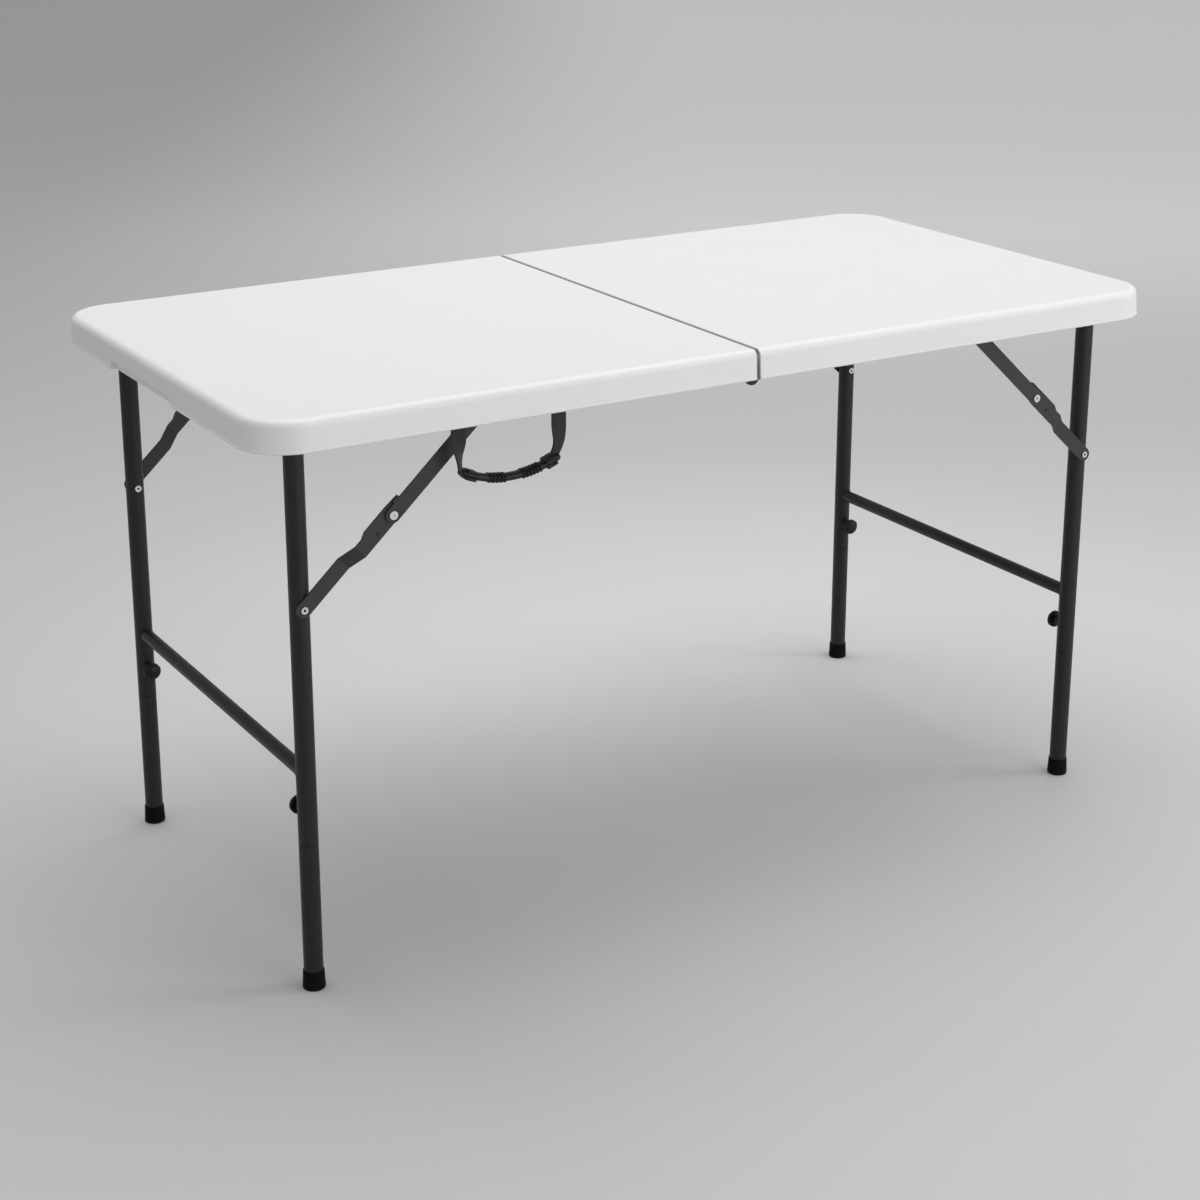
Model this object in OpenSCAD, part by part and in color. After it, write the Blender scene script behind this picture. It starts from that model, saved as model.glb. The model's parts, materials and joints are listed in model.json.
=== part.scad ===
// Fold-in-half table with a blow-moulded top and folding, height-adjustable steel legs.
// Origin: centre of the table on the floor. X runs along the table, Y to the rear, Z up.
// The left half is fixed. Each piece is drawn once for the front-left corner and mirrored.

/* [Table top] */
// Length of the open table
table_length = 1220; // [1100:10:1600]
// Width of the table
table_width = 610; // [560:5:760]
// Height of the table with the lower legs pushed home
table_height = 670; // [640:5:760]
// Depth of the rim from the top surface to its lower edge
rim_depth = 35; // [34:1:50]
// Thickness of the double-walled panel
panel_thickness = 12; // [11:0.5:20]
// Width of the rim's wall
rim_wall = 10.5; // [8:0.5:14]
// Radius of the outer corners in plan
corner_r = 60; // [40:1:80]
// Radius of the top edge
edge_r = 9; // [5:0.5:12]
// Radius of the rolled lower edge
roll_r = 2.5; // [1.5:0.5:4]
// Height of the lip along the lower edge
lip_height = 3.5; // [3:0.5:5]
// How far the lip stands out from the side
lip_out = 0.9; // [0.5:0.1:1.2]
// How far the top edge lies inside the lip
side_draft = 2.2; // [1.2:0.1:4]
// Gap between the two halves
seam_gap = 2; // [0.6:0.1:3]
// Thickness of the end wall beside the seam
seam_wall = 12; // [8:0.5:16]
// Radius of the top edge along the seam
seam_r = 3.5; // [1:0.5:5]
// Radius of the upright edges at the ends of the seam
seam_corner_r = 2.5; // [1:0.5:4]
// Spacing of the moulded cones that join the two skins
cone_pitch = 66; // [50:1:90]
// Depth of a moulded cone
cone_depth = 7; // [5:0.5:12]
// Radius of a moulded cone at the underside
cone_r = 8; // [5:0.5:10]

/* [Finger grips] */
// Length of the finger grip in each short side
grip_slot_length = 184; // [120:2:220]
// Distance of the finger grip's middle behind the table's middle
grip_slot_y = 28; // [-40:2:40]
// Height of the finger grip
grip_slot_height = 12; // [8:0.5:14]
// Radius of the finger grip's corners
grip_slot_r = 7; // [4:0.5:8]
// Wall left between the finger grip and the rim's inner face
grip_slot_wall = 2.5; // [2:0.5:4]
// Length of the moulded mark in the front rim of the left half
rim_mark_length = 15; // [8:1:30]
// Distance of the moulded mark from the seam
rim_mark_x = 326; // [250:2:400]

/* [Side rails] */
// Width of the rail's channel over both webs
rail_width = 15.5; // [14:0.5:20]
// Thickness of the rail's sheet steel
rail_t = 1.5; // [1:0.1:2]
// Space between the rail and the rim, where the handle's strap runs
rail_gap = 3; // [2.5:0.1:5]
// Distance from the table's end to the rail's end
rail_end = 46; // [45:1:55]
// Radius of the hinge ear at the seam
ear_r = 9; // [8.5:0.5:13]
// Diameter of the hinge rivet at the seam
hinge_pin_d = 6; // [5:0.5:7]
// Diameter of a rail screw
screw_d = 4; // [3:0.5:5]
// Number of screws in each rail
screw_count = 4; // [3:1:6]

/* [Leg frames] */
// Diameter of the leg tube
leg_d = 22; // [19:0.5:25]
// Wall of the leg tube
leg_wall = 1.2; // [1:0.1:2]
// Distance from the table's end to the middle of the legs
leg_inset = 65; // [55:1:90]
// Space between a leg and the rail's inner web
leg_rail_gap = 20; // [19:1:45]
// Height of the lower end of the upper leg tube above the floor
joint_z = 176; // [150:1:190]
// Diameter of the bolt on which a frame swings
pivot_d = 8; // [6:0.5:10]
// Diameter of the crossbar
crossbar_d = 16; // [12:0.5:19]
// Height of the crossbar
crossbar_z = 258; // [240:1:300]
// Length of the swaged neck of the lower leg
neck_length = 120; // [100:1:140]
// Height of the foot cap
cap_height = 22; // [15:1:30]
// Wall of the foot cap at its mouth
cap_wall = 0.9; // [0.8:0.1:2]
// How much the foot cap widens towards the floor
cap_flare = 0.9; // [0:0.1:2]
// Thickness of the foot cap's sole
cap_sole = 3; // [2:0.5:5]

/* [Clamping knobs] */
// Height of the knobs
knob_z = 213; // [206:1:225]
// Diameter of the knob
knob_d = 21.5; // [18:0.5:28]
// Diameter of the knob's screw
stud_d = 6; // [5:0.5:8]
// Diameter of the nut welded to the leg
nut_d = 12; // [11:0.5:16]
// How far the nut stands off the leg
nut_height = 5.4; // [4:0.1:8]

/* [Braces] */
// Distance from the frame's pivot down to the brace's rivet in the leg
brace_drop = 195; // [180:1:210]
// Distance from the frame's pivot along the rail to the brace's rivet
brace_reach = 210; // [200:1:230]
// Width of a brace link
link_width = 17.5; // [14:0.5:18]
// Thickness of a brace link
link_t = 2; // [1.5:0.1:2.5]
// Diameter of the brace rivets
rivet_d = 6; // [5:0.5:7]
// Diameter of the rivet heads
rivet_head_d = 9.6; // [9:0.2:11]
// Diameter of the rolled heads of the tubular rivets in the legs
leg_rivet_head_d = 8; // [7.5:0.1:10]
// Thickness of the rivet heads
rivet_head_t = 1.5; // [1:0.1:1.6]
// Distance from the leg's rivet to the start of the link's joggle
joggle_start = 64; // [50:1:70]
// Length of the joggle
joggle_length = 20; // [18:1:30]
// How far the lower link's shoulder bulges towards the corner
lobe = 3.5; // [2:0.5:5]

/* [Handle] */
// Distance of the handle's middle from the seam
handle_x = 316; // [250:1:380]
// Distance between the middles of the two straps
strap_span = 122; // [90:1:150]
// Width of the strap
strap_width = 18; // [14:0.5:25]
// Thickness of the strap
strap_t = 1.6; // [1:0.1:2]
// Drop from the rim's lower edge to the middle of the grip
grip_drop = 65; // [50:1:90]
// How far the grip sags below its ends
grip_sag = 16; // [8:1:25]
// Thickness of the grip
grip_t = 9; // [7:0.5:12]
// Width of the grip
grip_width = 14; // [10:0.5:20]

/* [Clearances] */
// Radial clearance of pins and tubes that turn or slide in a hole
fit = 0.08; // [0.05:0.01:0.1]
// Gap between moving faces
play = 0.5; // [0.3:0.1:0.8]
// Gap left at a welded or pressed seat
seat = 0.1; // [0.05:0.01:0.2]

/* [Hidden] */
$fn = 64;
eps = 0.01;

white = "#eeeeec";
black = "#2c2c2c";
zinc = "#c4c5c6";
plastic = "#161616";

// Top
half_length = table_length / 2;
half_width = table_width / 2;
rim_z = table_height - rim_depth;
lip_z = rim_z + lip_height;
panel_z = table_height - panel_thickness;

// Rails, by the distance of their faces from the centre line
rail_outer = half_width - rim_wall - rail_gap;
rail_inner = rail_outer - rail_width;
rail_bottom = rim_z + play;
rail_length = half_length - rail_end - ear_r - 3;
ear_washer = 0.3;
screw_length = 9;
screw_y = (rail_outer + rail_inner) / 2;

// Frames
leg_x = half_length - leg_inset;
leg_r = leg_d / 2;
leg_y = rail_inner - leg_rail_gap - leg_r;
bore_r = leg_r - leg_wall;
neck_r = bore_r - fit;
pivot_z = panel_z - leg_r - 2;
tube_end = rail_inner - play;
tube_plug = 22;

// Braces: straight when the leg stands, and flat along the rail when the leg is folded
brace_length = sqrt(pow(brace_drop, 2) + pow(brace_reach, 2));
lower_link = (brace_length - brace_reach + brace_drop) / 2;
upper_link = brace_length - lower_link;
brace_angle = atan2(brace_drop, brace_reach);
leg_rivet_z = pivot_z - brace_drop;
link_y = leg_y + leg_r + play;
upper_link_y = rail_inner - 2 * play - rivet_head_t - link_t - play;
joggle = upper_link_y - play - link_t - link_y;
tab_t = 1.8;
tab_gap = 0.5;
tab_start = link_width / 2 + 1;
tab_length = 9;

// Handle: the strap hangs between the rail and the rim
strap_y = rail_outer + rail_gap / 2;
strap_pivot_z = rim_z - 1.5;
grip_half = strap_span / 2 + 2;
grip_arc_r = (pow(grip_half, 2) + pow(grip_sag, 2)) / (2 * grip_sag);
grip_angle = asin(grip_half / grip_arc_r);
grip_low_z = rim_z - grip_drop;
strap_foot_z = grip_low_z + grip_sag;

// Draws its child at one of the four corners; the child is made for the front left one
module corner(side, row) {
    mirror([side == "right" ? 1 : 0, 0, 0])
        mirror([0, row == "rear" ? 1 : 0, 0])
            children();
}

// Draws its child at the front and at the rear of one side
module both_rows(side) {
    corner(side, "front") children();
    corner(side, "rear") children();
}

// A cylinder along Y from one distance to another in front of the centre line
module pin(x, z, near, far, d) {
    translate([x, -near, z]) rotate([90, 0, 0]) cylinder(d = d, h = far - near);
}

// A quarter of a disc in the first quadrant
module quarter_disc(r) {
    intersection() {
        circle(r);
        square(r);
    }
}

// ---- Table top ----

// Section of the rim, measured outward from the centre of the corner radius
module rim_section() {
    shoulder = corner_r - side_draft - edge_r;
    polygon([
        [0, panel_z], [0, table_height], [shoulder, table_height],
        [shoulder, table_height - edge_r], [corner_r - side_draft, table_height - edge_r],
        [corner_r - lip_out, lip_z], [corner_r, lip_z - lip_out], [corner_r, rim_z + roll_r],
        [corner_r - roll_r, rim_z + roll_r], [corner_r - roll_r, rim_z],
        [corner_r - rim_wall, rim_z], [corner_r - rim_wall, panel_z]
    ]);
    translate([shoulder, table_height - edge_r]) quarter_disc(edge_r);
    translate([corner_r - roll_r, rim_z + roll_r]) rotate(-90) quarter_disc(roll_r);
}

// One outer corner and the long side that runs from it to the seam
module rim_side() {
    translate([corner_r - half_length, corner_r - half_width, 0])
        rotate([0, 0, 180]) rotate_extrude(angle = 90) rim_section();
    translate([-seam_gap / 2, corner_r - half_width, 0])
        rotate([90, 0, -90]) linear_extrude(half_length - corner_r - seam_gap / 2) rim_section();
}

// Rounds the top edge along the seam
module seam_edge_cutter() {
    translate([-seam_gap / 2 - seam_r, -half_width - 1, table_height - seam_r])
        difference() {
            cube([seam_r + 1, table_width + 2, seam_r + 1]);
            rotate([-90, 0, 0]) cylinder(r = seam_r, h = table_width + 2);
        }
}

// Rounds the upright edge between the seam and the leaning long side
module seam_corner_cutter() {
    lean = atan2(side_draft - lip_out, table_height - edge_r - lip_z);
    translate([-seam_gap / 2 - seam_corner_r, lip_out - half_width, lip_z])
        rotate([-lean, 0, 0]) translate([0, seam_corner_r, rim_z - lip_z - 2])
            difference() {
                translate([0, -seam_corner_r - 1, 0])
                    cube([seam_corner_r + 1, seam_corner_r + 1, rim_depth + 4]);
                cylinder(r = seam_corner_r, h = rim_depth + 4);
            }
}

// Recess under the short side for the fingers
module finger_grip_cutter() {
    depth = rim_wall - grip_slot_wall;
    corner_x = grip_slot_length / 2 - grip_slot_r;
    corner_z = grip_slot_height - grip_slot_r;
    translate([depth - half_length, grip_slot_y, rim_z])
        rotate([90, 0, -90]) linear_extrude(depth + 1) {
            translate([-grip_slot_length / 2, -1]) square([grip_slot_length, corner_z + 1]);
            translate([-corner_x, -1]) square([2 * corner_x, grip_slot_height + 1]);
            for (end = [-1, 1]) translate([end * corner_x, corner_z]) circle(grip_slot_r);
        }
}

// Cones moulded up from the underside to the top skin
module skin_cones() {
    reach_y = floor((rail_inner - cone_r - 6) / cone_pitch - 0.5);
    first_x = -seam_gap / 2 - seam_wall - cone_pitch * 0.6;
    columns = floor((half_length - rim_wall - cone_r - 6 + first_x) / cone_pitch);
    for (column = [0:columns], row = [-reach_y - 1:reach_y])
        translate([first_x - column * cone_pitch, (row + 0.5) * cone_pitch, panel_z - 1])
            cylinder(r1 = cone_r + 0.3, r2 = cone_r * 0.6, h = cone_depth + 1);
}

module screw_places() {
    for (i = [0:screw_count - 1])
        translate([
            -(ear_r + 3) - rail_length * (i + 0.35) / screw_count, -screw_y, 0
        ]) children();
}

module top_half() {
    difference() {
        union() {
            rim_side();
            mirror([0, 1, 0]) rim_side();
            translate([corner_r - half_length, corner_r - half_width, 0])
                rotate([90, 0, 180]) linear_extrude(table_width - 2 * corner_r) rim_section();
            translate([corner_r - half_length, corner_r - half_width, panel_z])
                cube([
                    half_length - corner_r - seam_gap / 2, table_width - 2 * corner_r,
                    panel_thickness
                ]);
            translate([-seam_gap / 2 - seam_wall, -rail_inner + 3, rim_z])
                cube([seam_wall, 2 * rail_inner - 6, panel_z - rim_z + 1]);
        }
        seam_edge_cutter();
        seam_corner_cutter();
        mirror([0, 1, 0]) seam_corner_cutter();
        finger_grip_cutter();
        skin_cones();
        for (row = [0, 1])
            mirror([0, row, 0]) screw_places()
                translate([0, 0, panel_z - 1]) cylinder(d = screw_d + 2 * fit, h = screw_length + 1);
    }
}

module left_top() {
    color(white) difference() {
        top_half();
        translate([-rim_mark_x - rim_mark_length / 2, -half_width - 1, lip_z - lip_out - 1.4])
            cube([rim_mark_length, 1.7, 3]);
    }
}

module right_top() {
    color(white) mirror([1, 0, 0]) top_half();
}

// ---- Side rails ----

// Side view of the outer web, with the hinge ear at its seam end
module outer_web_outline() {
    translate([rail_end - half_length, rail_bottom])
        square([rail_length, panel_z - rail_bottom]);
    translate([-ear_r - 4, rail_bottom]) square([ear_r + 4, ear_r - play]);
    translate([0, rim_z]) circle(ear_r);
}

// Plan view of the outer web, whose ear steps inward by ear_step
module outer_web_plan(ear_step) {
    bend_near = -ear_r - 6;
    bend_far = bend_near - 6;
    polygon([
        [rail_end - half_length, -rail_outer], [bend_far, -rail_outer],
        [bend_near, ear_step - rail_outer], [ear_r, ear_step - rail_outer],
        [ear_r, ear_step - rail_outer + rail_t], [bend_near, ear_step - rail_outer + rail_t],
        [bend_far, rail_t - rail_outer], [rail_end - half_length, rail_t - rail_outer]
    ]);
}

// A channel of bent sheet, open downward, with an ear that carries the table's hinge
module side_rail(ear_step) {
    start_x = rail_end - half_length;
    difference() {
        union() {
            intersection() {
                translate([0, 0, rim_z - ear_r]) linear_extrude(panel_z - rim_z + ear_r)
                    outer_web_plan(ear_step);
                translate([0, -rail_inner, 0]) rotate([90, 0, 0]) linear_extrude(rail_width)
                    outer_web_outline();
            }
            translate([start_x, -rail_outer, panel_z - rail_t])
                cube([rail_length - 8, rail_width, rail_t]);
            translate([start_x, -rail_inner - rail_t, rail_bottom])
                cube([rail_length - 8, rail_t, panel_z - rail_bottom]);
        }
        pin(-leg_x, pivot_z, rail_inner - 1, rail_inner + rail_t + 1, pivot_d + 2 * fit);
        pin(brace_reach - leg_x, pivot_z, rail_inner - 1, rail_inner + rail_t + 1, rivet_d + 2 * fit);
        pin(0, rim_z, rail_inner, rail_outer + 1, hinge_pin_d + 2 * fit);
        screw_places() translate([0, 0, panel_z - rail_t - 1])
            cylinder(d = screw_d + 2 * fit, h = rail_t + 2);
    }
}

module left_side_rail() {
    difference() {
        side_rail(0);
        for (end = [-1, 1])
            pin(end * strap_span / 2 - handle_x, handle_rivet_z(), rail_outer - rail_t - 1,
                rail_outer + 1, screw_d + 2 * fit);
    }
}

module front_left_rail() { color(black) left_side_rail(); }
module rear_left_rail() { color(black) corner("left", "rear") side_rail(0); }
module front_right_rail() { color(black) corner("right", "front") side_rail(rail_t + ear_washer); }
module rear_right_rail() { color(black) corner("right", "rear") side_rail(rail_t + ear_washer); }

// Rivet through both ears, with a head on each side
module hinge_rivet() {
    inner_face = rail_outer - 2 * rail_t - ear_washer;
    head_d = hinge_pin_d + 6;
    pin(0, rim_z, inner_face - fit - rivet_head_t, inner_face - fit, head_d);
    pin(0, rim_z, inner_face - fit - rivet_head_t, rail_outer + rivet_head_t, hinge_pin_d);
    pin(0, rim_z, rail_outer, rail_outer + rivet_head_t, head_d);
}

module hinge_rivets() { color(zinc) both_rows("left") hinge_rivet(); }

// Pan-head screws that hold a rail up against the panel
module rail_screws() {
    screw_places() translate([0, 0, panel_z - rail_t]) {
        cylinder(d = screw_d, h = rail_t + screw_length - 1);
        translate([0, 0, -2.4]) cylinder(d1 = screw_d + 3.4, d2 = screw_d + 5, h = 2.4);
    }
}

module left_rail_screws() { color(zinc) both_rows("left") rail_screws(); }
module right_rail_screws() { color(zinc) both_rows("right") rail_screws(); }

// Bolt through the rail's inner web into the end of the pivot tube
module pivot_bolt() {
    face = rail_inner + rail_t;
    pin(-leg_x, pivot_z, face - tube_plug + 2, face + 1, pivot_d);
    pin(-leg_x, pivot_z, face, face + 4, pivot_d + 5);
}

module left_pivot_bolts() { color(zinc) both_rows("left") pivot_bolt(); }
module right_pivot_bolts() { color(zinc) both_rows("right") pivot_bolt(); }

// Rivet that carries the upper link on the rail, with a collar as spacer
module brace_rivet() {
    x = brace_reach - leg_x;
    head = upper_link_y - fit - rivet_head_t;
    pin(x, pivot_z, head, head + rivet_head_t, rivet_head_d);
    pin(x, pivot_z, head, rail_inner + rail_t + rivet_head_t, rivet_d);
    pin(x, pivot_z, upper_link_y + link_t + fit, rail_inner, rivet_head_d);
    pin(x, pivot_z, rail_inner + rail_t, rail_inner + rail_t + rivet_head_t, rivet_head_d);
}

module left_brace_rivets() { color(zinc) both_rows("left") brace_rivet(); }
module right_brace_rivets() { color(zinc) both_rows("right") brace_rivet(); }

// ---- Leg frames ----

// Tube across the frame's top, plugged at both ends for the pivot bolts
module pivot_tube() {
    difference() {
        pin(-leg_x, pivot_z, -tube_end, tube_end, leg_d);
        pin(-leg_x, pivot_z, tube_plug - tube_end, tube_end - tube_plug, 2 * bore_r);
        pin(-leg_x, pivot_z, -tube_end - 1, tube_end + 1, pivot_d + 2 * fit);
    }
}

module left_pivot_tube() { color(black) pivot_tube(); }
module right_pivot_tube() { color(black) corner("right", "front") pivot_tube(); }

module leg_axis(x = -leg_x, y = -leg_y) {
    translate([x, y, 0]) children();
}

// Upper leg, coped to the pivot tube and drilled for the brace's rivet and the clamping screw
module upper_leg() {
    difference() {
        leg_axis() translate([0, 0, joint_z]) cylinder(r = leg_r, h = pivot_z - joint_z);
        leg_axis() translate([0, 0, joint_z - 1]) cylinder(r = bore_r, h = pivot_z - joint_z + 2);
        pin(-leg_x, pivot_z, leg_y - leg_d, leg_y + leg_d, leg_d + 2 * seat);
        pin(-leg_x, leg_rivet_z, leg_y - leg_d, leg_y + leg_d, rivet_d + 2 * seat);
        pin(-leg_x, knob_z, leg_y - leg_d, leg_y, stud_d + 2 * fit);
    }
}

module front_left_upper_leg() { color(black) upper_leg(); }
module rear_left_upper_leg() { color(black) corner("left", "rear") upper_leg(); }
module front_right_upper_leg() { color(black) corner("right", "front") upper_leg(); }
module rear_right_upper_leg() { color(black) corner("right", "rear") upper_leg(); }

// Crossbar with ends coped to the legs
module crossbar() {
    difference() {
        pin(-leg_x, crossbar_z, -leg_y, leg_y, crossbar_d);
        pin(-leg_x, crossbar_z, -leg_y - 1, leg_y + 1, crossbar_d - 2 * leg_wall);
        for (side = [-1, 1])
            leg_axis(y = side * leg_y) translate([0, 0, crossbar_z - crossbar_d])
                cylinder(r = leg_r + seat, h = 2 * crossbar_d);
    }
}

module left_crossbar() { color(black) crossbar(); }
module right_crossbar() { color(black) corner("right", "front") crossbar(); }

// Tubular rivet right through the leg, on which the lower link turns
module leg_rivet() {
    outer_face = link_y + link_t + fit;
    difference() {
        union() {
            pin(-leg_x, leg_rivet_z, leg_y - leg_r - rivet_head_t, outer_face + rivet_head_t, rivet_d);
            pin(-leg_x, leg_rivet_z, leg_y - leg_r - rivet_head_t, leg_y - leg_r, leg_rivet_head_d);
            pin(-leg_x, leg_rivet_z, outer_face, outer_face + rivet_head_t, leg_rivet_head_d);
        }
        pin(-leg_x, leg_rivet_z, leg_y - leg_d, outer_face + rivet_head_t + 1, rivet_d / 2);
    }
}

module left_leg_rivets() { color(zinc) both_rows("left") leg_rivet(); }
module right_leg_rivets() { color(zinc) both_rows("right") leg_rivet(); }

// Nut welded to the leg, in which the clamping screw turns
module clamp_nut() {
    difference() {
        pin(-leg_x, knob_z, leg_y - leg_r - nut_height, leg_y - leg_r / 2, nut_d);
        pin(-leg_x, knob_z, leg_y - leg_d, leg_y, stud_d + 2 * fit);
        leg_axis() translate([0, 0, knob_z - nut_d]) cylinder(r = leg_r + seat, h = 2 * nut_d);
    }
}

module left_clamp_nuts() { color(black) both_rows("left") clamp_nut(); }
module right_clamp_nuts() { color(black) both_rows("right") clamp_nut(); }

// ---- Lower legs ----

// Lower leg with a swaged neck that slides in the upper leg
module lower_leg() {
    shoulder_z = joint_z - 0.3;
    chamfer = 0.6;
    leg_axis() difference() {
        union() {
            translate([0, 0, cap_sole]) cylinder(r = leg_r, h = shoulder_z - chamfer - cap_sole);
            translate([0, 0, shoulder_z - chamfer])
                cylinder(r1 = leg_r, r2 = leg_r - chamfer, h = chamfer);
            translate([0, 0, shoulder_z - 1]) cylinder(r = neck_r, h = neck_length + 1);
        }
        translate([0, 0, cap_sole - 1]) cylinder(r = bore_r, h = shoulder_z - cap_sole - 4);
        translate([0, 0, shoulder_z - 6]) cylinder(r = neck_r - leg_wall, h = neck_length + 8);
    }
}

module front_left_lower_leg() { color(black) lower_leg(); }
module rear_left_lower_leg() { color(black) corner("left", "rear") lower_leg(); }
module front_right_lower_leg() { color(black) corner("right", "front") lower_leg(); }
module rear_right_lower_leg() { color(black) corner("right", "rear") lower_leg(); }

// Moulded cap that widens towards a rounded sole
module foot_cap() {
    sole_r = 2;
    mouth_r = leg_r + seat + cap_wall;
    foot_r = mouth_r + cap_flare;
    leg_axis() rotate_extrude() difference() {
        union() {
            polygon([
                [0, 0], [foot_r - sole_r, 0], [foot_r - sole_r, sole_r], [foot_r, sole_r],
                [mouth_r, cap_height], [0, cap_height]
            ]);
            translate([foot_r - sole_r, sole_r]) rotate(-90) quarter_disc(sole_r);
        }
        translate([0, cap_sole]) square([leg_r + seat, cap_height]);
    }
}

module front_left_foot_cap() { color(plastic) foot_cap(); }
module rear_left_foot_cap() { color(plastic) corner("left", "rear") foot_cap(); }
module front_right_foot_cap() { color(plastic) corner("right", "front") foot_cap(); }
module rear_right_foot_cap() { color(plastic) corner("right", "rear") foot_cap(); }

// ---- Clamping knobs ----

knob_base = leg_y - leg_r - nut_height - 0.3;
knob_collar = 3.5;
knob_rim = 4;
knob_dome = 5;

// Mushroom knob, turned about the screw's axis, with a collar against the nut
module knob() {
    knob_r = knob_d / 2;
    dome_r = (pow(knob_r, 2) + pow(knob_dome, 2)) / (2 * knob_dome);
    translate([-leg_x, -knob_base, knob_z]) rotate([-90, 0, 0]) rotate_extrude() difference() {
        union() {
            square([nut_d / 2 - 1, knob_collar + 1]);
            translate([0, knob_collar]) square([knob_r, knob_rim]);
            intersection() {
                translate([0, knob_collar + knob_rim + knob_dome - dome_r]) circle(dome_r);
                translate([0, knob_collar + 1]) square([knob_r, knob_rim + knob_dome]);
            }
        }
        translate([0, -1]) square([stud_d / 2 + seat, knob_collar + knob_rim + 1]);
    }
}

module front_left_knob() { color(plastic) knob(); }
module rear_left_knob() { color(plastic) corner("left", "rear") knob(); }
module front_right_knob() { color(plastic) corner("right", "front") knob(); }
module rear_right_knob() { color(plastic) corner("right", "rear") knob(); }

// Clamping screw moulded into the knob; its tip stops just short of the lower leg's neck
module stud() {
    tip = leg_y - neck_r - 0.28;
    pin(-leg_x, knob_z, knob_base - knob_collar - knob_rim + seat, tip, stud_d);
}

module front_left_stud() { color(zinc) stud(); }
module rear_left_stud() { color(zinc) corner("left", "rear") stud(); }
module front_right_stud() { color(zinc) corner("right", "front") stud(); }
module rear_right_stud() { color(zinc) corner("right", "rear") stud(); }

// ---- Braces ----

// Places its child along the straight brace: X runs from the leg's rivet to the rail's rivet
module brace_axis() {
    translate([-leg_x, 0, leg_rivet_z]) rotate([0, -brace_angle, 0]) children();
}

// Flat strip with round ends from one point of the brace to another
module link_outline(from, to) {
    translate([from, -link_width / 2]) square([to - from, link_width]);
    for (end = [from, to]) translate([end, 0]) circle(d = link_width);
}

// Plan view of the lower link: a strip that steps outward from the leg to the upper link
module joggled_strip() {
    start = -link_width;
    far = lower_link + link_width;
    bend = joggle_start + joggle_length;
    polygon([
        [start, 0], [joggle_start, 0], [bend, -joggle], [far, -joggle],
        [far, -joggle - link_t], [bend, -joggle - link_t], [joggle_start, -link_t], [start, -link_t]
    ]);
}

// Lower link, with a shoulder, a dimple, the inner half of the elbow rivet, and a stop tab
// that bends over the upper link's edge
module lower_link_piece() {
    elbow_y = link_y + joggle;
    shoulder_start = lower_link - 34;
    tab_end = lower_link + tab_start + tab_length;
    tab_top = link_width / 2 + tab_gap + tab_t;
    brace_axis() difference() {
        union() {
            intersection() {
                translate([0, -link_y, -link_width]) linear_extrude(2 * link_width) joggled_strip();
                rotate([90, 0, 0]) linear_extrude(rail_inner) {
                    link_outline(0, lower_link);
                    polygon([
                        [shoulder_start - 8, 0], [shoulder_start - 8, link_width / 2],
                        [shoulder_start, link_width / 2 + lobe],
                        [lower_link, link_width / 2 + lobe], [tab_end, tab_top],
                        [tab_end, tab_top - tab_t], [lower_link + tab_start, 0]
                    ]);
                }
            }
            translate([tab_end - tab_length, -upper_link_y - link_t - 0.4, tab_top - tab_t])
                cube([tab_length, upper_link_y + link_t + 0.4 - elbow_y, tab_t]);
            translate([lower_link, -elbow_y - link_t / 2, 0]) rotate([-90, 0, 0])
                cylinder(d = rivet_head_d, h = rivet_head_t + link_t / 2);
        }
        rotate([90, 0, 0]) cylinder(d = rivet_d + 2 * fit, h = rail_inner);
        translate([lower_link - 26, -elbow_y - link_t - 1, -1]) sphere(d = 5);
    }
}

module front_left_lower_link() { color(black) lower_link_piece(); }
module rear_left_lower_link() { color(black) corner("left", "rear") lower_link_piece(); }
module front_right_lower_link() { color(black) corner("right", "front") lower_link_piece(); }
module rear_right_lower_link() { color(black) corner("right", "rear") lower_link_piece(); }

// Upper link: flat, from the elbow to the rail
module upper_link_piece() {
    brace_axis() translate([0, -upper_link_y, 0]) rotate([90, 0, 0]) linear_extrude(link_t)
        difference() {
            link_outline(lower_link, brace_length);
            translate([lower_link, 0]) circle(d = rivet_d + 2 * seat);
            translate([brace_length, 0]) circle(d = rivet_d + 2 * fit);
        }
}

module front_left_upper_link() { color(black) upper_link_piece(); }
module rear_left_upper_link() { color(black) corner("left", "rear") upper_link_piece(); }
module front_right_upper_link() { color(black) corner("right", "front") upper_link_piece(); }
module rear_right_upper_link() { color(black) corner("right", "rear") upper_link_piece(); }

// Outer half of the tubular elbow rivet, fixed in the upper link
module elbow_rivet() {
    face = upper_link_y + link_t;
    brace_axis() translate([lower_link, 0, 0]) rotate([90, 0, 0]) difference() {
        union() {
            translate([0, 0, upper_link_y]) cylinder(d = rivet_d, h = link_t + rivet_head_t);
            translate([0, 0, face]) cylinder(d = rivet_head_d, h = rivet_head_t);
        }
        translate([0, 0, face]) cylinder(d = rivet_d / 2, h = rivet_head_t + 1);
    }
}

module front_left_elbow_rivet() { color(zinc) elbow_rivet(); }
module rear_left_elbow_rivet() { color(zinc) corner("left", "rear") elbow_rivet(); }
module front_right_elbow_rivet() { color(zinc) corner("right", "front") elbow_rivet(); }
module rear_right_elbow_rivet() { color(zinc) corner("right", "rear") elbow_rivet(); }

// ---- Handle ----

function handle_rivet_z() = (rail_bottom + panel_z) / 2;

module strap_places() {
    for (end = [-1, 1])
        translate([end * strap_span / 2 - handle_x, -strap_y, 0]) children();
}

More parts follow.
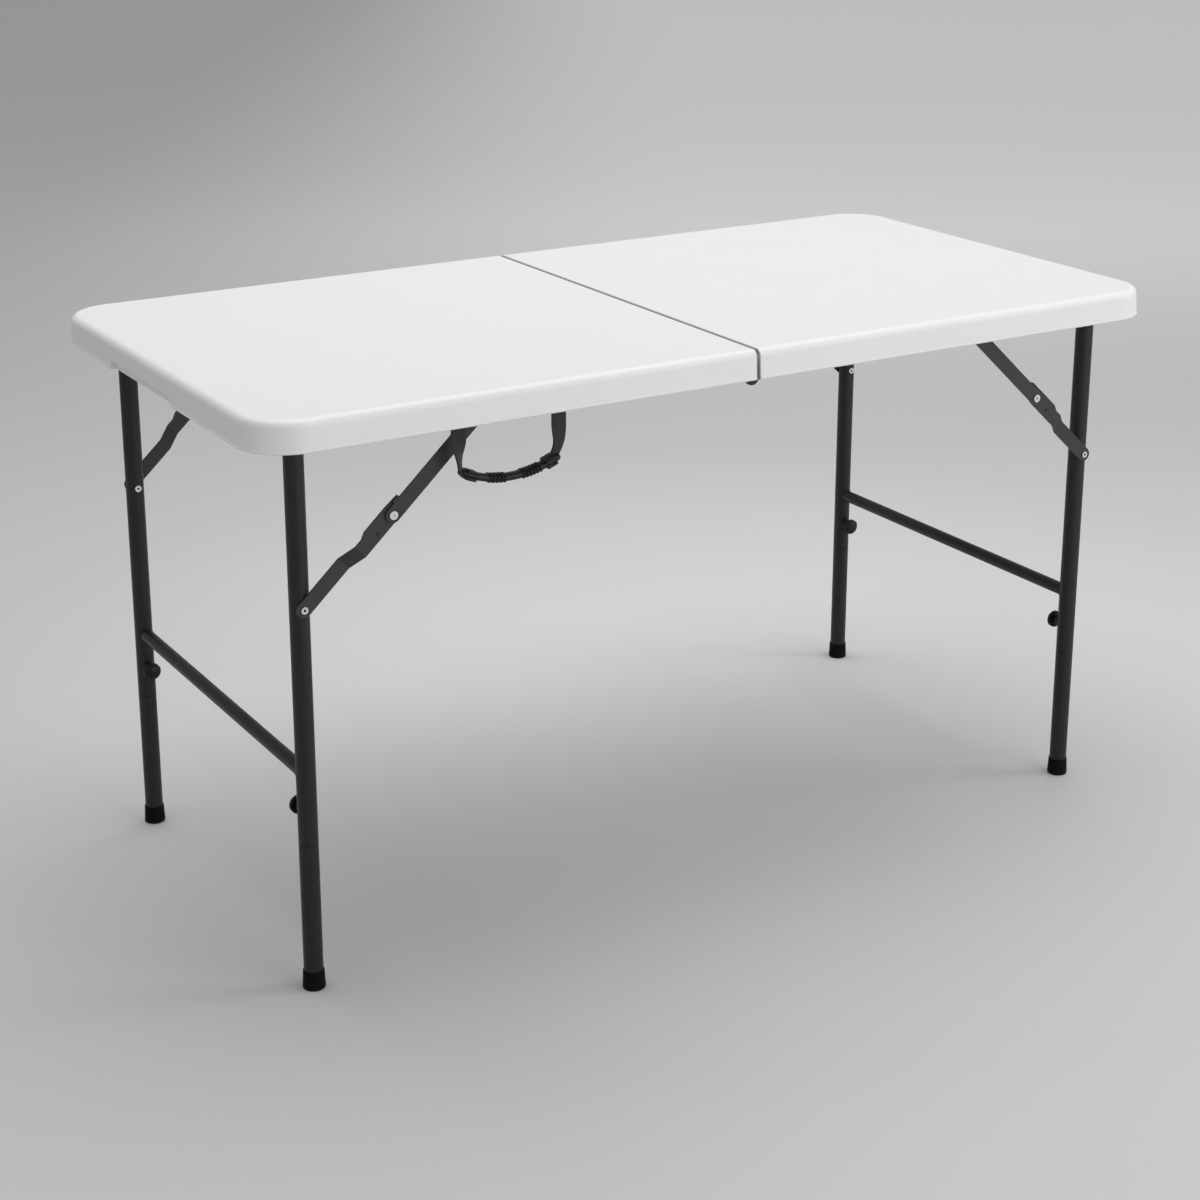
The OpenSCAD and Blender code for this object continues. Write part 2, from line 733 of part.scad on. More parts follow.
// Sewn ends of the strap, riveted to the rail behind the rim
module handle_strap_ends() {
    color(plastic) strap_places() difference() {
        translate([-strap_width / 2, -strap_t / 2, rim_z + 0.2])
            cube([strap_width, strap_t, panel_z - rim_z - 2]);
        translate([0, strap_t, handle_rivet_z()]) rotate([90, 0, 0])
            cylinder(d = screw_d + 2 * fit, h = 2 * strap_t);
    }
}

module handle_rivets() {
    color(zinc) for (end = [-1, 1]) {
        x = end * strap_span / 2 - handle_x;
        inner_face = rail_outer - rail_t;
        pin(x, handle_rivet_z(), inner_face - 1.6, inner_face, screw_d + 4);
        pin(x, handle_rivet_z(), inner_face - 1.6, strap_y + strap_t / 2 + 0.3, screw_d);
    }
}

// The two hanging lengths of strap, rounded where they bend under the rim
module handle_strap() {
    color(plastic) strap_places() {
        translate([-strap_width / 2, -strap_t / 2, strap_foot_z])
            cube([strap_width, strap_t, strap_pivot_z - strap_foot_z]);
        translate([-strap_width / 2, 0, strap_pivot_z]) rotate([0, 90, 0])
            cylinder(d = strap_t, h = strap_width);
    }
}

// Section of the grip: a flat oval
module grip_section() {
    translate([-grip_t / 2, (grip_t - grip_width) / 2]) square([grip_t, grip_width - grip_t]);
    for (end = [-1, 1]) translate([0, end * (grip_width - grip_t) / 2]) circle(d = grip_t);
}

// Curved grip moulded round the strap
module handle_grip() {
    color(plastic) difference() {
        translate([-handle_x, -strap_y, grip_low_z + grip_arc_r])
            rotate([90, 90 + grip_angle, 0]) rotate_extrude(angle = 2 * grip_angle)
                translate([grip_arc_r, 0]) grip_section();
        strap_places() translate([-strap_width / 2 - seat, -strap_t / 2 - seat, strap_foot_z - seat])
            cube([strap_width + 2 * seat, strap_t + 2 * seat, grip_drop]);
    }
}

left_top();
right_top();
front_left_rail();
rear_left_rail();
front_right_rail();
rear_right_rail();
hinge_rivets();
left_rail_screws();
right_rail_screws();
left_pivot_bolts();
right_pivot_bolts();
left_brace_rivets();
right_brace_rivets();
left_pivot_tube();
right_pivot_tube();
left_crossbar();
right_crossbar();
left_leg_rivets();
right_leg_rivets();
left_clamp_nuts();
right_clamp_nuts();
front_left_upper_leg();
rear_left_upper_leg();
front_right_upper_leg();
rear_right_upper_leg();
front_left_lower_leg();
rear_left_lower_leg();
front_right_lower_leg();
rear_right_lower_leg();
front_left_foot_cap();
rear_left_foot_cap();
front_right_foot_cap();
rear_right_foot_cap();
front_left_knob();
rear_left_knob();
front_right_knob();
rear_right_knob();
front_left_stud();
rear_left_stud();
front_right_stud();
rear_right_stud();
front_left_lower_link();
rear_left_lower_link();
front_right_lower_link();
rear_right_lower_link();
front_left_upper_link();
rear_left_upper_link();
front_right_upper_link();
rear_right_upper_link();
front_left_elbow_rivet();
rear_left_elbow_rivet();
front_right_elbow_rivet();
rear_right_elbow_rivet();
handle_strap_ends();
handle_rivets();
handle_strap();
handle_grip();
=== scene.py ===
import json
import math

import bmesh
import bpy
from mathutils import Matrix, Vector


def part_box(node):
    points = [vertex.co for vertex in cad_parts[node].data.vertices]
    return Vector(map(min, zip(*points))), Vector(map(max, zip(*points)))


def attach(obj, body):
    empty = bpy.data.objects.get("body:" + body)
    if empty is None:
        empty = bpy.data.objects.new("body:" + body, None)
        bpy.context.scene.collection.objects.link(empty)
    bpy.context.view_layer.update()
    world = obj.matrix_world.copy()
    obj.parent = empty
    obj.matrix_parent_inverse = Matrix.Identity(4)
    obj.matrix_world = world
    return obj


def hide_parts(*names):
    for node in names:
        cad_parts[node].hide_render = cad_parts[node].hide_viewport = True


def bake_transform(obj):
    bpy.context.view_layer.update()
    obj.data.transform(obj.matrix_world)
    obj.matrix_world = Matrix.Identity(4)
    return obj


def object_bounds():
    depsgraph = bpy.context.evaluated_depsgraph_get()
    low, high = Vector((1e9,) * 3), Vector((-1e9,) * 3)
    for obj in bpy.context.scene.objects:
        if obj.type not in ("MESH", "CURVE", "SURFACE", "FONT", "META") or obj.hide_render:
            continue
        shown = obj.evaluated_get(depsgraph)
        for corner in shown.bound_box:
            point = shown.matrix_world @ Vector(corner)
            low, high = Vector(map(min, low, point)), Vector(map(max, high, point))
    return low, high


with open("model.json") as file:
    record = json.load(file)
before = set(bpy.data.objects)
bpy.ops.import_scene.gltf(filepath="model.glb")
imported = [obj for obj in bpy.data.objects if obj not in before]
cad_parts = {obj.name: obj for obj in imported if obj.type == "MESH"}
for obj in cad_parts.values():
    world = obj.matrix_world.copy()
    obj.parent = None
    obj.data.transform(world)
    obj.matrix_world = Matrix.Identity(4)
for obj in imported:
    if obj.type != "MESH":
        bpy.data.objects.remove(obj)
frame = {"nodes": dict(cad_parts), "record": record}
cad_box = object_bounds()
nodes = frame["nodes"]

# ---------------------------------------------------------------------------------------
# Camera. A short telephoto view from the front left, a little above the table top, with a
# small vertical shift that keeps the feet in the frame. In radians, the heading turns from
# +Y towards +X and the dip is the angle below level.
camera_data = bpy.data.cameras.new("camera")
camera_data.lens = 69.3
camera_data.sensor_width = 36.0
camera_data.shift_y = -0.121
camera_place = Vector((-1.4588, -2.3637, 1.3109))
camera_heading = 0.5452
camera_dip = 0.2946
look = Vector((
    math.sin(camera_heading) * math.cos(camera_dip),
    math.cos(camera_heading) * math.cos(camera_dip),
    -math.sin(camera_dip),
))
camera = bpy.data.objects.new("camera", camera_data)
camera.location = camera_place
camera.rotation_mode = "QUATERNION"
camera.rotation_quaternion = look.to_track_quat("-Z", "Y")
bpy.context.scene.collection.objects.link(camera)
bpy.context.scene.camera = camera


# ---------------------------------------------------------------------------------------
# Studio. A sheet of pale grey paper for the floor, with a painted pool of light round the
# table. A painted glow, seen by camera, glossy and transmission rays only, brightens it behind
# the table on the right, and far out in front gives it the tone of the plain grey world.
class Socket:
    """A node's output that can be added, multiplied and compared."""

    def __init__(self, tree, output):
        self.tree = tree
        self.output = output

    def _math(self, operation, *values):
        return self.tree.node("ShaderNodeMath", {"operation": operation}, *values)

    def __add__(self, other):
        return self._math("ADD", self, other)

    __radd__ = __add__

    def __sub__(self, other):
        return self._math("SUBTRACT", self, other)

    def __rsub__(self, other):
        return self._math("SUBTRACT", other, self)

    def __mul__(self, other):
        return self._math("MULTIPLY", self, other)

    __rmul__ = __mul__

    def __truediv__(self, other):
        return self._math("DIVIDE", self, other)

    def __pow__(self, other):
        return self._math("POWER", self, other)

    def __gt__(self, other):
        return self._math("GREATER_THAN", self, other)

    def sine(self):
        return self._math("SINE", self)

    def absolute(self):
        return self._math("ABSOLUTE", self)

    def clamped(self):
        return self._math("MINIMUM", self._math("MAXIMUM", self, 0.0), 1.0)

    def above(self, start, steepness):
        """0 up to start, then a straight rise to 1."""
        return ((self - start) * steepness).clamped()

    def below(self, start, steepness):
        """0 down to start, then a straight rise to 1."""
        return ((start - self) * steepness).clamped()

    def eased(self, start, end):
        """0 at start, 1 at end, and a smooth step between them."""
        share = ((self - start) / (end - start)).clamped()
        return share * share * (3.0 - 2.0 * share)


class Finish:
    """A material under construction, with one Principled shader."""

    def __init__(self, name, **constants):
        self.material = bpy.data.materials.new(name)
        self.material.use_nodes = True
        self.tree = self.material.node_tree
        self.shader = self.tree.nodes["Principled BSDF"]
        for socket, value in constants.items():
            self.shader.inputs[socket.replace("_", " ")].default_value = value

    def node(self, kind, settings, *values, output=0, **named):
        made = self.tree.nodes.new(kind)
        for key, value in settings.items():
            setattr(made, key, value)
        targets = list(zip(range(len(values)), values))
        targets += [(key.replace("_", " "), value) for key, value in named.items()]
        for key, value in targets:
            if isinstance(value, Socket):
                self.tree.links.new(value.output, made.inputs[key])
            else:
                made.inputs[key].default_value = value
        return Socket(self, made.outputs[output])

    def drive(self, socket, value):
        self.tree.links.new(value.output, self.shader.inputs[socket])

    def place(self):
        return self.node("ShaderNodeTexCoord", {}, output="Object")

    def axis(self, name):
        return self.node("ShaderNodeSeparateXYZ", {}, self.place(), output=name)

    def distance(self, x=0.0, y=0.0):
        """Distance, seen from above, from the point x, y."""
        across = self.axis("X") - x
        along = self.axis("Y") - y
        return (across * across + along * along) ** 0.5

    def noise(self, scale, detail=3.0, roughness=0.55, stretch=None):
        where = self.place()
        if stretch:
            where = self.node("ShaderNodeMapping", {}, Vector=where, Scale=stretch)
        return self.node(
            "ShaderNodeTexNoise", {}, Vector=where, Scale=scale, Detail=detail,
            Roughness=roughness,
        )

    def blend(self, factor, first, second):
        mixed = self.tree.nodes.new("ShaderNodeMix")
        mixed.data_type = "RGBA"
        for key, value in (("Factor_Float", factor), ("A_Color", first), ("B_Color", second)):
            socket = next(s for s in mixed.inputs if s.identifier == key)
            if isinstance(value, Socket):
                self.tree.links.new(value.output, socket)
            else:
                socket.default_value = value if key == "Factor_Float" else (*value, 1.0)
        colour = next(s for s in mixed.outputs if s.identifier == "Result_Color")
        return Socket(self, colour)

    def bump(self, height, distance, strength=1.0):
        self.drive("Normal", self.node(
            "ShaderNodeBump", {}, Strength=strength, Distance=distance, Height=height,
        ))


paper = Finish("studio_paper", Roughness=0.9, Specular_IOR_Level=0.1, Emission_Strength=1.0)
mottled_paper = paper.blend(
    (paper.noise(0.7, 2.0) - 0.5).absolute() * 0.5, (0.60, 0.60, 0.60), (0.56, 0.56, 0.565),
)
# Painted light: the paper is brighter in a pool round the middle of the table.
painted_light_pool_colour = (0.71, 0.71, 0.71)
painted_light_pool_middle = (0.35, 0.30)
painted_light_pool_fade = 0.9
painted_light_pool_mask = (1.0 - paper.distance(*painted_light_pool_middle) * painted_light_pool_fade).clamped()
paper.drive("Base Color", paper.blend(painted_light_pool_mask, mottled_paper, painted_light_pool_colour))

ahead_x = math.sin(camera_heading)
ahead_y = math.cos(camera_heading)
to_the_right = paper.axis("X") * ahead_y - paper.axis("Y") * ahead_x
to_the_back = paper.axis("X") * ahead_x + paper.axis("Y") * ahead_y
# Painted light: an emitted glow on the paper, brighter behind the table on the right and far out
# in front. It is seen by camera, glossy and transmission rays only, so it lights nothing.
left_glow = 0.07
right_glow = 0.28
world_glow = 0.158
across_glow = left_glow + (right_glow - left_glow) * to_the_right.eased(-1.9, 0.4)
glow_behind = to_the_back.eased(1.5, 4.0) * across_glow
in_front = 1.0 - to_the_back.eased(-0.5, 1.5)
glow_far_out = paper.distance().eased(2.4, 5.6) * in_front * world_glow
seen = sum(
    paper.node("ShaderNodeLightPath", {}, output=ray)
    for ray in ("Is Camera Ray", "Is Glossy Ray", "Is Transmission Ray")
)
paper.drive("Emission Color", (glow_behind + glow_far_out) * seen.clamped())

floor_reach = 30.0
floor_mesh = bmesh.new()
bmesh.ops.create_grid(floor_mesh, x_segments=2, y_segments=2, size=floor_reach)
floor_data = bpy.data.meshes.new("floor")
floor_mesh.to_mesh(floor_data)
floor_mesh.free()
floor = bpy.data.objects.new("floor", floor_data)
floor_data.materials.append(paper.material)
bpy.context.scene.collection.objects.link(floor)

world = bpy.data.worlds.new("studio")
world.use_nodes = True
background = world.node_tree.nodes["Background"]
background.inputs["Color"].default_value = (0.80, 0.80, 0.80, 1.0)
background.inputs["Strength"].default_value = 0.47
bpy.context.scene.world = world
bpy.context.scene.view_settings.view_transform = "Standard"


# ---------------------------------------------------------------------------------------
# Four soft lamps: a wide one overhead, a strip beyond the right end, a large one in front
# and a weak fill from the left. Each is aimed at the middle of the table.
table_middle = Vector((0.0, 0.0, 0.45))


def soft_lamp(name, place, size, power):
    lamp = bpy.data.lights.new(name, "AREA")
    lamp.shape = "RECTANGLE"
    lamp.size, lamp.size_y = size
    lamp.energy = power
    lamp_object = bpy.data.objects.new(name, lamp)
    lamp_object.location = place
    aim = table_middle - Vector(place)
    lamp_object.rotation_mode = "QUATERNION"
    lamp_object.rotation_quaternion = aim.to_track_quat("-Z", "Y")
    bpy.context.scene.collection.objects.link(lamp_object)


soft_lamp("overhead", (0.2, 0.5, 3.0), (3.4, 2.6), 57.0)
soft_lamp("right_strip", (3.0, -1.6, 1.7), (1.2, 2.2), 25.0)
soft_lamp("front_key", (1.2, -3.9, 1.35), (3.4, 2.2), 54.0)
soft_lamp("left_fill", (-2.8, -1.9, 1.2), (1.6, 1.6), 5.0)


# ---------------------------------------------------------------------------------------
# Table top. Two blow-moulded halves of white high-density polyethylene. The mould is
# blasted, so the skin has a fine pebbled grain. It picks up faint scuffs in use, and the
# edges that meet at the seam are painted dark grey, as painted shade in the gap between the
# halves.
def wear(finish, names):
    for name in names:
        data = nodes[name].data
        data.materials.clear()
        data.materials.append(finish.material)


half_width = cad_box[1][1]
table_height = cad_box[1][2]
top_white = (0.80, 0.80, 0.795)
top_shade = (0.755, 0.755, 0.748)
seam_painted_shade = (0.21, 0.21, 0.208)
skin = Finish("moulded_polyethylene", Specular_IOR_Level=0.42)
clouds = skin.noise(5.5, 4.0, 0.6)
scuffs = skin.noise(38.0, 6.0, 0.7, stretch=(1.0, 6.0, 1.0))
worn_skin = skin.blend(
    clouds.above(0.38, 1.6) * 0.55 + scuffs.above(0.62, 5.0) * 0.35, top_white, top_shade,
)
# Painted shade: the skin is darkened along the seam, on the top and the sides, where the gap
# between the halves lies in shade.
seam_edge = skin.axis("X").absolute().below(0.0036, 450.0)
near_top = skin.axis("Z").above(table_height - 0.0065, 400.0)
near_side = skin.axis("Y").absolute().above(half_width - 0.0055, 400.0)
painted_seam_shade_mask = seam_edge * (near_top + near_side).clamped()
skin.drive("Base Color", skin.blend(painted_seam_shade_mask, worn_skin, seam_painted_shade))
skin.drive("Roughness", 0.40 + clouds * 0.10 + scuffs.above(0.6, 4.0) * 0.12)
grain = skin.noise(900.0, 2.0, 0.5)
ripple = skin.noise(26.0, 2.0, 0.5)
skin.bump(grain * 0.6 + ripple * 3.0, 0.00022, 0.55)
wear(skin, ["left_top", "right_top"])


# ---------------------------------------------------------------------------------------
# Steelwork. Tubes, rails and nuts of mild steel under a satin coat of charcoal powder with
# a slight orange peel. The flat brace links get a lighter, duller copy of the coat, whose lighter
# colour is painted light for the front light their flat faces reflect.
def powder_coat(name, dark, light, gloss, roughness):
    coat = Finish(name, Specular_IOR_Level=gloss)
    mottle = coat.noise(60.0, 4.0, 0.6)
    rubs = coat.noise(16.0, 5.0, 0.65, stretch=(1.0, 1.0, 0.25))
    coat.drive("Base Color", coat.blend(
        mottle * 0.5 + rubs.above(0.55, 3.0) * 0.5, dark, light,
    ))
    coat.drive("Roughness", roughness + mottle * 0.12 + rubs.above(0.5, 2.0) * 0.08)
    coat.bump(coat.noise(420.0, 2.0, 0.5), 0.00012, 0.6)
    return coat


powder = powder_coat(
    "charcoal_powder_coat", (0.0040, 0.0042, 0.0045), (0.0100, 0.0103, 0.0108), 0.42, 0.36,
)
# Painted light: the links' coat is a lighter copy, standing in for the light their flat faces
# reflect from the front.
link_coat_painted_light = powder_coat(
    "charcoal_link_coat_painted_light", (0.029, 0.0292, 0.030), (0.048, 0.0485, 0.0495), 0.35, 0.42,
)


def in_slot(slot):
    return [part["node"] for part in frame["record"]["subparts"] if part["material_slot"] == slot]


wear(powder, [name for name in in_slot("steel_black") if "link" not in name])
wear(link_coat_painted_light, [name for name in in_slot("steel_black") if "link" in name])


# ---------------------------------------------------------------------------------------
# Weld beads. Each crossbar, leg and nut is joined to its neighbour by one run of weld, which
# follows the saddle between the two round pieces, has fine ripples and a slower waver, and
# is painted over with them.
def finished(mesh, name, finish):
    """Turns a bmesh into an object with its finish."""
    data = bpy.data.meshes.new(name)
    mesh.to_mesh(data)
    mesh.free()
    for polygon in data.polygons:
        polygon.use_smooth = True
    data.materials.append(finish.material)
    piece = bpy.data.objects.new(name, data)
    bpy.context.scene.collection.objects.link(piece)
    return piece


def weld_bead(name, body, joint, pointing, tube_radius, host_radius, thickness=0.0013):
    """A bead round a tube that leaves a host tube at joint, a point on the host's axis."""
    mesh = bmesh.new()
    section = bmesh.ops.create_circle(mesh, radius=thickness, segments=10)["verts"]
    stand_up = Matrix.Translation((tube_radius, 0.0, 0.0)) @ Matrix.Rotation(math.pi / 2, 4, "X")
    bmesh.ops.transform(mesh, matrix=stand_up, verts=section)
    bmesh.ops.spin(
        mesh, geom=mesh.verts[:] + mesh.edges[:], cent=(0, 0, 0), axis=(0, 0, 1),
        angle=2 * math.pi, steps=72, use_merge=True,
    )
    for vert in mesh.verts:
        around = math.atan2(vert.co.y, vert.co.x)
        ripple = 0.16 * math.sin(26 * around)
        waver = 0.08 * math.sin(9 * around + 1.0)
        ring = Vector((math.cos(around), math.sin(around), 0.0)) * tube_radius
        offset = (vert.co - ring) * (1.0 + ripple + waver)
        across = min(abs(ring.x), host_radius * 0.995)
        saddle = math.sqrt(host_radius ** 2 - across ** 2)
        vert.co = ring + offset + Vector((0.0, 0.0, saddle))
    turn = Vector((0, 0, 1)).rotation_difference(Vector(pointing)).to_matrix().to_4x4()
    bmesh.ops.transform(mesh, matrix=Matrix.Translation(joint) @ turn, verts=mesh.verts)
    bmesh.ops.recalc_face_normals(mesh, faces=mesh.faces)
    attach(finished(mesh, name, powder), body)


leg_radius = 0.011
crossbar_radius = 0.008
nut_radius = 0.006
crossbar_height = 0.258
nut_height = 0.213
for side in ("left", "right"):
    tube_low, tube_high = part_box(side + "_pivot_tube")
    tube_height = (tube_low[2] + tube_high[2]) / 2
    for row, inward in (("front", 1), ("rear", -1)):
        corner_name = row + "_" + side
        leg_low, leg_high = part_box(corner_name + "_upper_leg")
        leg_x = (leg_low[0] + leg_high[0]) / 2
        leg_y = (leg_low[1] + leg_high[1]) / 2
        towards_middle = (0, inward, 0)
        weld_bead(
            corner_name + "_crossbar_weld", side + "_frame", (leg_x, leg_y, crossbar_height),
            towards_middle, crossbar_radius + 0.0003, leg_radius,
        )
        weld_bead(
            corner_name + "_nut_weld", side + "_frame", (leg_x, leg_y, nut_height),
            towards_middle, nut_radius + 0.0002, leg_radius, 0.0009,
        )
        weld_bead(
            corner_name + "_top_weld", side + "_frame", (leg_x, leg_y, tube_height),
            (0, 0, -1), leg_radius - 0.0002, leg_radius,
        )


# ---------------------------------------------------------------------------------------
# Fasteners. Rivets, screws, pivot bolts and clamping screws of steel with bright zinc
# plate, dulled a little where they are handled.
zinc = Finish("bright_zinc_plate", Metallic=1.0)
smear = zinc.noise(240.0, 3.0, 0.6)
zinc.drive("Base Color", zinc.blend(smear, (0.78, 0.79, 0.80), (0.60, 0.61, 0.62)))
zinc.drive("Roughness", 0.24 + smear * 0.18)
zinc.bump(zinc.noise(1400.0, 2.0, 0.5), 0.00004, 0.4)
wear(zinc, in_slot("zinc"))


# ---------------------------------------------------------------------------------------
# Foot caps and knobs. Injection-moulded black plastic with a fine spark-eroded grain. The
# caps are softer and duller than the knobs, and are scuffed near the floor.
def black_moulding(name, gloss, roughness):
    moulding = Finish(name, Specular_IOR_Level=gloss)
    scuffed = moulding.axis("Z").below(0.006, 200.0) * moulding.noise(180.0, 4.0, 0.7)
    moulding.drive("Base Color", moulding.blend(
        scuffed * 0.6, (0.0035, 0.0035, 0.0038), (0.02, 0.02, 0.02),
    ))
    moulding.drive("Roughness", roughness + moulding.noise(90.0, 3.0) * 0.16 + scuffed * 0.2)
    moulding.bump(moulding.noise(1200.0, 2.0), 0.00006, 0.6)
    return moulding


soft_caps = black_moulding("soft_black_caps", 0.08, 0.55)
hard_knobs = black_moulding("hard_black_knobs", 0.3, 0.42)
wear(soft_caps, [name for name in in_slot("cap") if name.endswith("_foot_cap")])
wear(hard_knobs, [name for name in in_slot("cap") if name.endswith("_knob")])


# ---------------------------------------------------------------------------------------
# Carrying strap. Two lengths of black webbing, 18 mm wide, riveted to the rail behind the
# rim. They bend under the rim, the left one twists, and both are gathered into the grip.
strap_low, strap_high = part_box("handle_strap")
strap_width = 0.018
strap_thickness = 0.0015
strap_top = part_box("handle_strap_ends")[1][2]
strap_y = (strap_low[1] + strap_high[1]) / 2
bend_below_top = 0.0008
strap_bend = strap_high[2] - bend_below_top
tucked_in_grip = 0.003
strap_foot = strap_low[2] - tucked_in_grip
edge_fullness = 1.12
face_fullness = 1.6
gathered_width = 0.58
gathered_thickness = 2.4

webbing_weave = Finish(
    "black_webbing", Roughness=0.72, Sheen_Weight=0.25, Sheen_Roughness=0.4,
    Specular_IOR_Level=0.35,
)
across = webbing_weave.node("ShaderNodeAttribute", {"attribute_name": "across"}, output="Fac")
along = webbing_weave.node("ShaderNodeAttribute", {"attribute_name": "along"}, output="Fac")
yarn_pitch = 0.0012
pick_pitch = 0.0018
selvedge_width = 0.0014
yarn_wave = (across * (math.pi / yarn_pitch)).sine()
pick_wave = (along * (2 * math.pi / pick_pitch)).sine()
selvedge = across.absolute() > strap_width / 2 - selvedge_width
weave = yarn_wave.absolute() * 0.55 + yarn_wave * pick_wave * 0.45 + selvedge * 0.5
fuzz = webbing_weave.noise(700.0, 3.0, 0.6)
webbing_weave.drive("Base Color", webbing_weave.blend(
    (weave * 0.6 + fuzz * 0.5).clamped(), (0.009, 0.009, 0.0095), (0.030, 0.030, 0.031),
))
webbing_weave.bump(weave + fuzz * 0.3, 0.00025, 0.8)


def eased(value, start, end):
    """0 at start, 1 at end, and a smooth step between them."""
    share = min(max((value - start) / (end - start), 0.0), 1.0)
    return share * share * (3.0 - 2.0 * share)


def webbing(name, x, drift, twist):
    """One length of strap, from its riveted end down into the grip.

    Its lower part drifts sideways, and it twists and gathers as it hangs.
    """
    mesh = bmesh.new()
    across_layer = mesh.verts.layers.float.new("across")
    along_layer = mesh.verts.layers.float.new("along")
    ring = bmesh.ops.create_circle(mesh, cap_ends=True, radius=1.0, segments=28)["verts"]
    for vert in ring:
        vert.co.x = max(-1.0, min(1.0, vert.co.x * edge_fullness))
        vert.co.y = max(-1.0, min(1.0, vert.co.y * face_fullness))
    before = Matrix.Identity(4)
    steps = 90
    length = strap_top - strap_foot
    hanging = strap_bend - strap_foot
    drifting = 0.45 * hanging
    for step in range(steps + 1):
        z = strap_top - length * step / steps
        drop = strap_bend - z
        gathered = eased(drop, hanging * 0.3, hanging)
        drifted = max(drop - (hanging - drifting), 0.0) / drifting
        turned = twist * eased(drop, hanging * 0.2, hanging * 0.9)
        lean = -math.atan(2.0 * drift * drifted / drifting)
        wave = 0.0006 * math.sin(70.0 * z) * eased(strap_top - z, 0.03, 0.05)
        size = Matrix.Diagonal((
            strap_width / 2 * (1.0 + (gathered_width - 1.0) * gathered),
            strap_thickness / 2 * (1.0 + (gathered_thickness - 1.0) * gathered), 1.0, 1.0,
        ))
        now = (
            Matrix.Translation((x + drift * drifted ** 2, strap_y + wave, z))
            @ Matrix.Rotation(turned, 4, "Z") @ Matrix.Rotation(lean, 4, "Y") @ size
        )
        if step > 0:
            edges = [
                edge for edge in mesh.edges
                if edge.verts[0] in last_ring and edge.verts[1] in last_ring
            ]
            grown = bmesh.ops.extrude_edge_only(mesh, edges=edges)["geom"]
            ring = [item for item in grown if isinstance(item, bmesh.types.BMVert)]
        last_ring = set(ring)
        bmesh.ops.transform(mesh, matrix=now @ before.inverted(), verts=ring)
        for vert in ring:
            flat = now.inverted() @ vert.co
            vert[across_layer] = flat.x * strap_width / 2
            vert[along_layer] = length * step / steps
        before = now
    bmesh.ops.holes_fill(mesh, edges=mesh.edges, sides=0)
    bmesh.ops.recalc_face_normals(mesh, faces=mesh.faces)
    piece = finished(mesh, name, webbing_weave)
    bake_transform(piece)
    return piece


left_strap = webbing("left_strap", strap_low[0] + strap_width / 2, 0.002, math.radians(52))
webbing("right_strap", strap_high[0] - strap_width / 2, -0.008, math.radians(8))
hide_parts("handle_strap", "handle_strap_ends")


# ---------------------------------------------------------------------------------------
# Grip. One moulding of soft black plastic round the ends of the strap, bowed to fit the
# hand, with a slotted collar near each end. Its two groups of ribs are given by where they
# start and end, as shares of the grip's length, and by their number.
grip_low, grip_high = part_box("handle_grip")
grip_thickness = 0.009
grip_width = 0.014
grip_half_span = 0.063
grip_sag = 0.016
roundness = 0.85
neck_scale = 0.95
rib_scale = 0.26
rib_groups = ((0.27, 0.45, 5), (0.60, 0.80, 6))
end_scale = 0.6
end_rounding = (-0.02, 0.03)
arc_share = 0.95
grip_radius = (grip_half_span ** 2 + grip_sag ** 2) / (2 * grip_sag)
grip_half_angle = math.asin(grip_half_span / grip_radius) * arc_share
grip_x = (grip_low[0] + grip_high[0]) / 2
grip_centre = Vector((grip_x, strap_y, grip_low[2] + grip_thickness / 2 + grip_radius))

soft_plastic = Finish("soft_black_moulding", Specular_IOR_Level=0.32)
blotches = soft_plastic.noise(110.0, 3.0, 0.6)
soft_plastic.drive("Base Color", soft_plastic.blend(
    blotches, (0.0035, 0.0035, 0.0038), (0.0075, 0.0075, 0.008),
))
soft_plastic.drive("Roughness", 0.30 + blotches * 0.16)
soft_plastic.bump(soft_plastic.noise(1500.0, 2.0), 0.00005, 0.6)

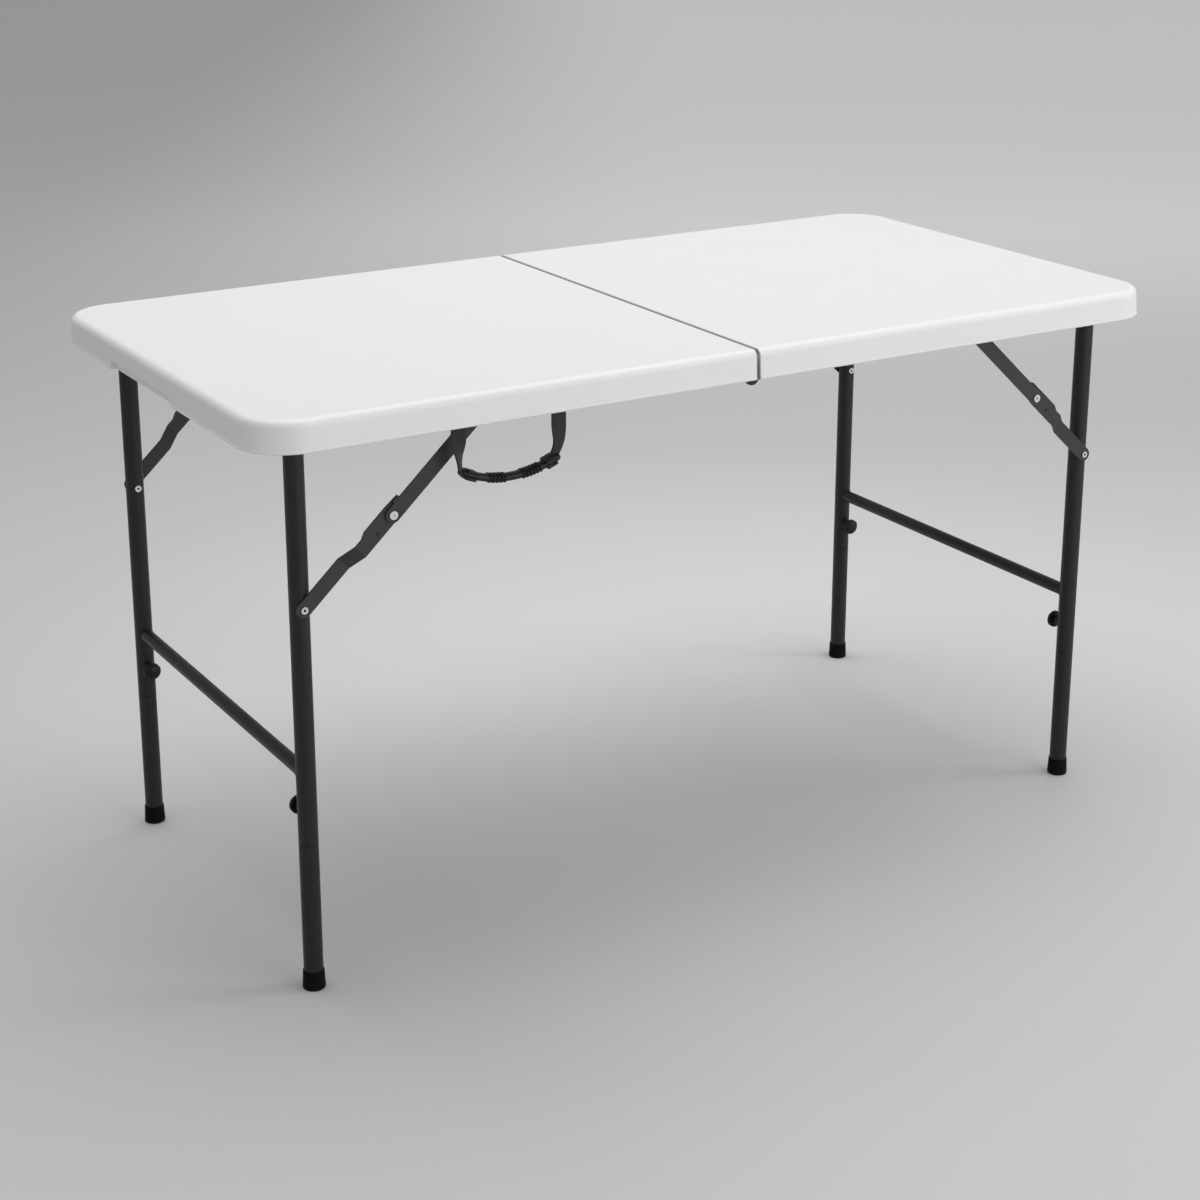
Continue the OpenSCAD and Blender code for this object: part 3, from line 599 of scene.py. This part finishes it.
mesh = bmesh.new()
section = bmesh.ops.create_circle(mesh, radius=1.0, segments=32)["verts"]
for vert in section:
    vert.co.x = math.copysign(abs(vert.co.x) ** roundness, vert.co.x) * grip_thickness / 2
    vert.co.y = math.copysign(abs(vert.co.y) ** roundness, vert.co.y) * grip_width / 2
start = (
    Matrix.Rotation(grip_half_angle, 4, "Y") @ Matrix.Translation((0, 0, -grip_radius))
    @ Matrix.Rotation(math.pi / 2, 4, "Y")
)
bmesh.ops.transform(mesh, matrix=start, verts=section)
bmesh.ops.spin(
    mesh, geom=mesh.verts[:] + mesh.edges[:], cent=(0, 0, 0), axis=(0, 1, 0),
    angle=-2 * grip_half_angle, steps=320,
)
for vert in mesh.verts:
    share = 0.5 + math.atan2(vert.co.x, -vert.co.z) / (2 * grip_half_angle)
    ribs = 0.0
    for first, last, count in rib_groups:
        if first < share < last:
            ribs = math.sin(math.pi * count * (share - first) / (last - first)) ** 2
    full = eased(share, *end_rounding) * eased(1.0 - share, *end_rounding)
    scale = (neck_scale + rib_scale * ribs) * (end_scale + (1.0 - end_scale) * full)
    distance = math.hypot(vert.co.x, vert.co.z)
    radial = (grip_radius + (distance - grip_radius) * scale) / distance
    vert.co = Vector((vert.co.x * radial, vert.co.y * scale, vert.co.z * radial))
bmesh.ops.holes_fill(mesh, edges=mesh.edges, sides=0)
bmesh.ops.recalc_face_normals(mesh, faces=mesh.faces)
bmesh.ops.translate(mesh, vec=grip_centre, verts=mesh.verts)
grip = finished(mesh, "grip", soft_plastic)
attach(grip, "handle")
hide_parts("handle_grip")

collar_size = (0.014, grip_width + 0.001, grip_thickness + 0.0022)
collar_edge = 0.0016
slot_depth = 0.0022
collar_share = 0.8
for name, end in (("left_grip_collar", -1), ("right_grip_collar", 1)):
    mesh = bmesh.new()
    bmesh.ops.create_cube(mesh, size=1.0)
    bmesh.ops.scale(mesh, vec=collar_size, verts=mesh.verts)
    bmesh.ops.bevel(
        mesh, geom=mesh.edges[:], offset=collar_edge, segments=3, profile=0.5,
        affect="EDGES", material=-1,
    )
    faces = [face for face in mesh.faces if abs(face.normal.y) > 0.99]
    bmesh.ops.inset_individual(mesh, faces=faces, thickness=collar_edge)
    for face in faces:
        bmesh.ops.translate(mesh, vec=face.normal * -slot_depth, verts=face.verts)
    lean = -end * grip_half_angle * collar_share
    place = (
        Matrix.Translation(grip_centre) @ Matrix.Rotation(lean, 4, "Y")
        @ Matrix.Translation((0, 0, -grip_radius))
    )
    bmesh.ops.transform(mesh, matrix=place, verts=mesh.verts)
    bmesh.ops.recalc_face_normals(mesh, faces=mesh.faces)
    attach(finished(mesh, name, soft_plastic), "handle")
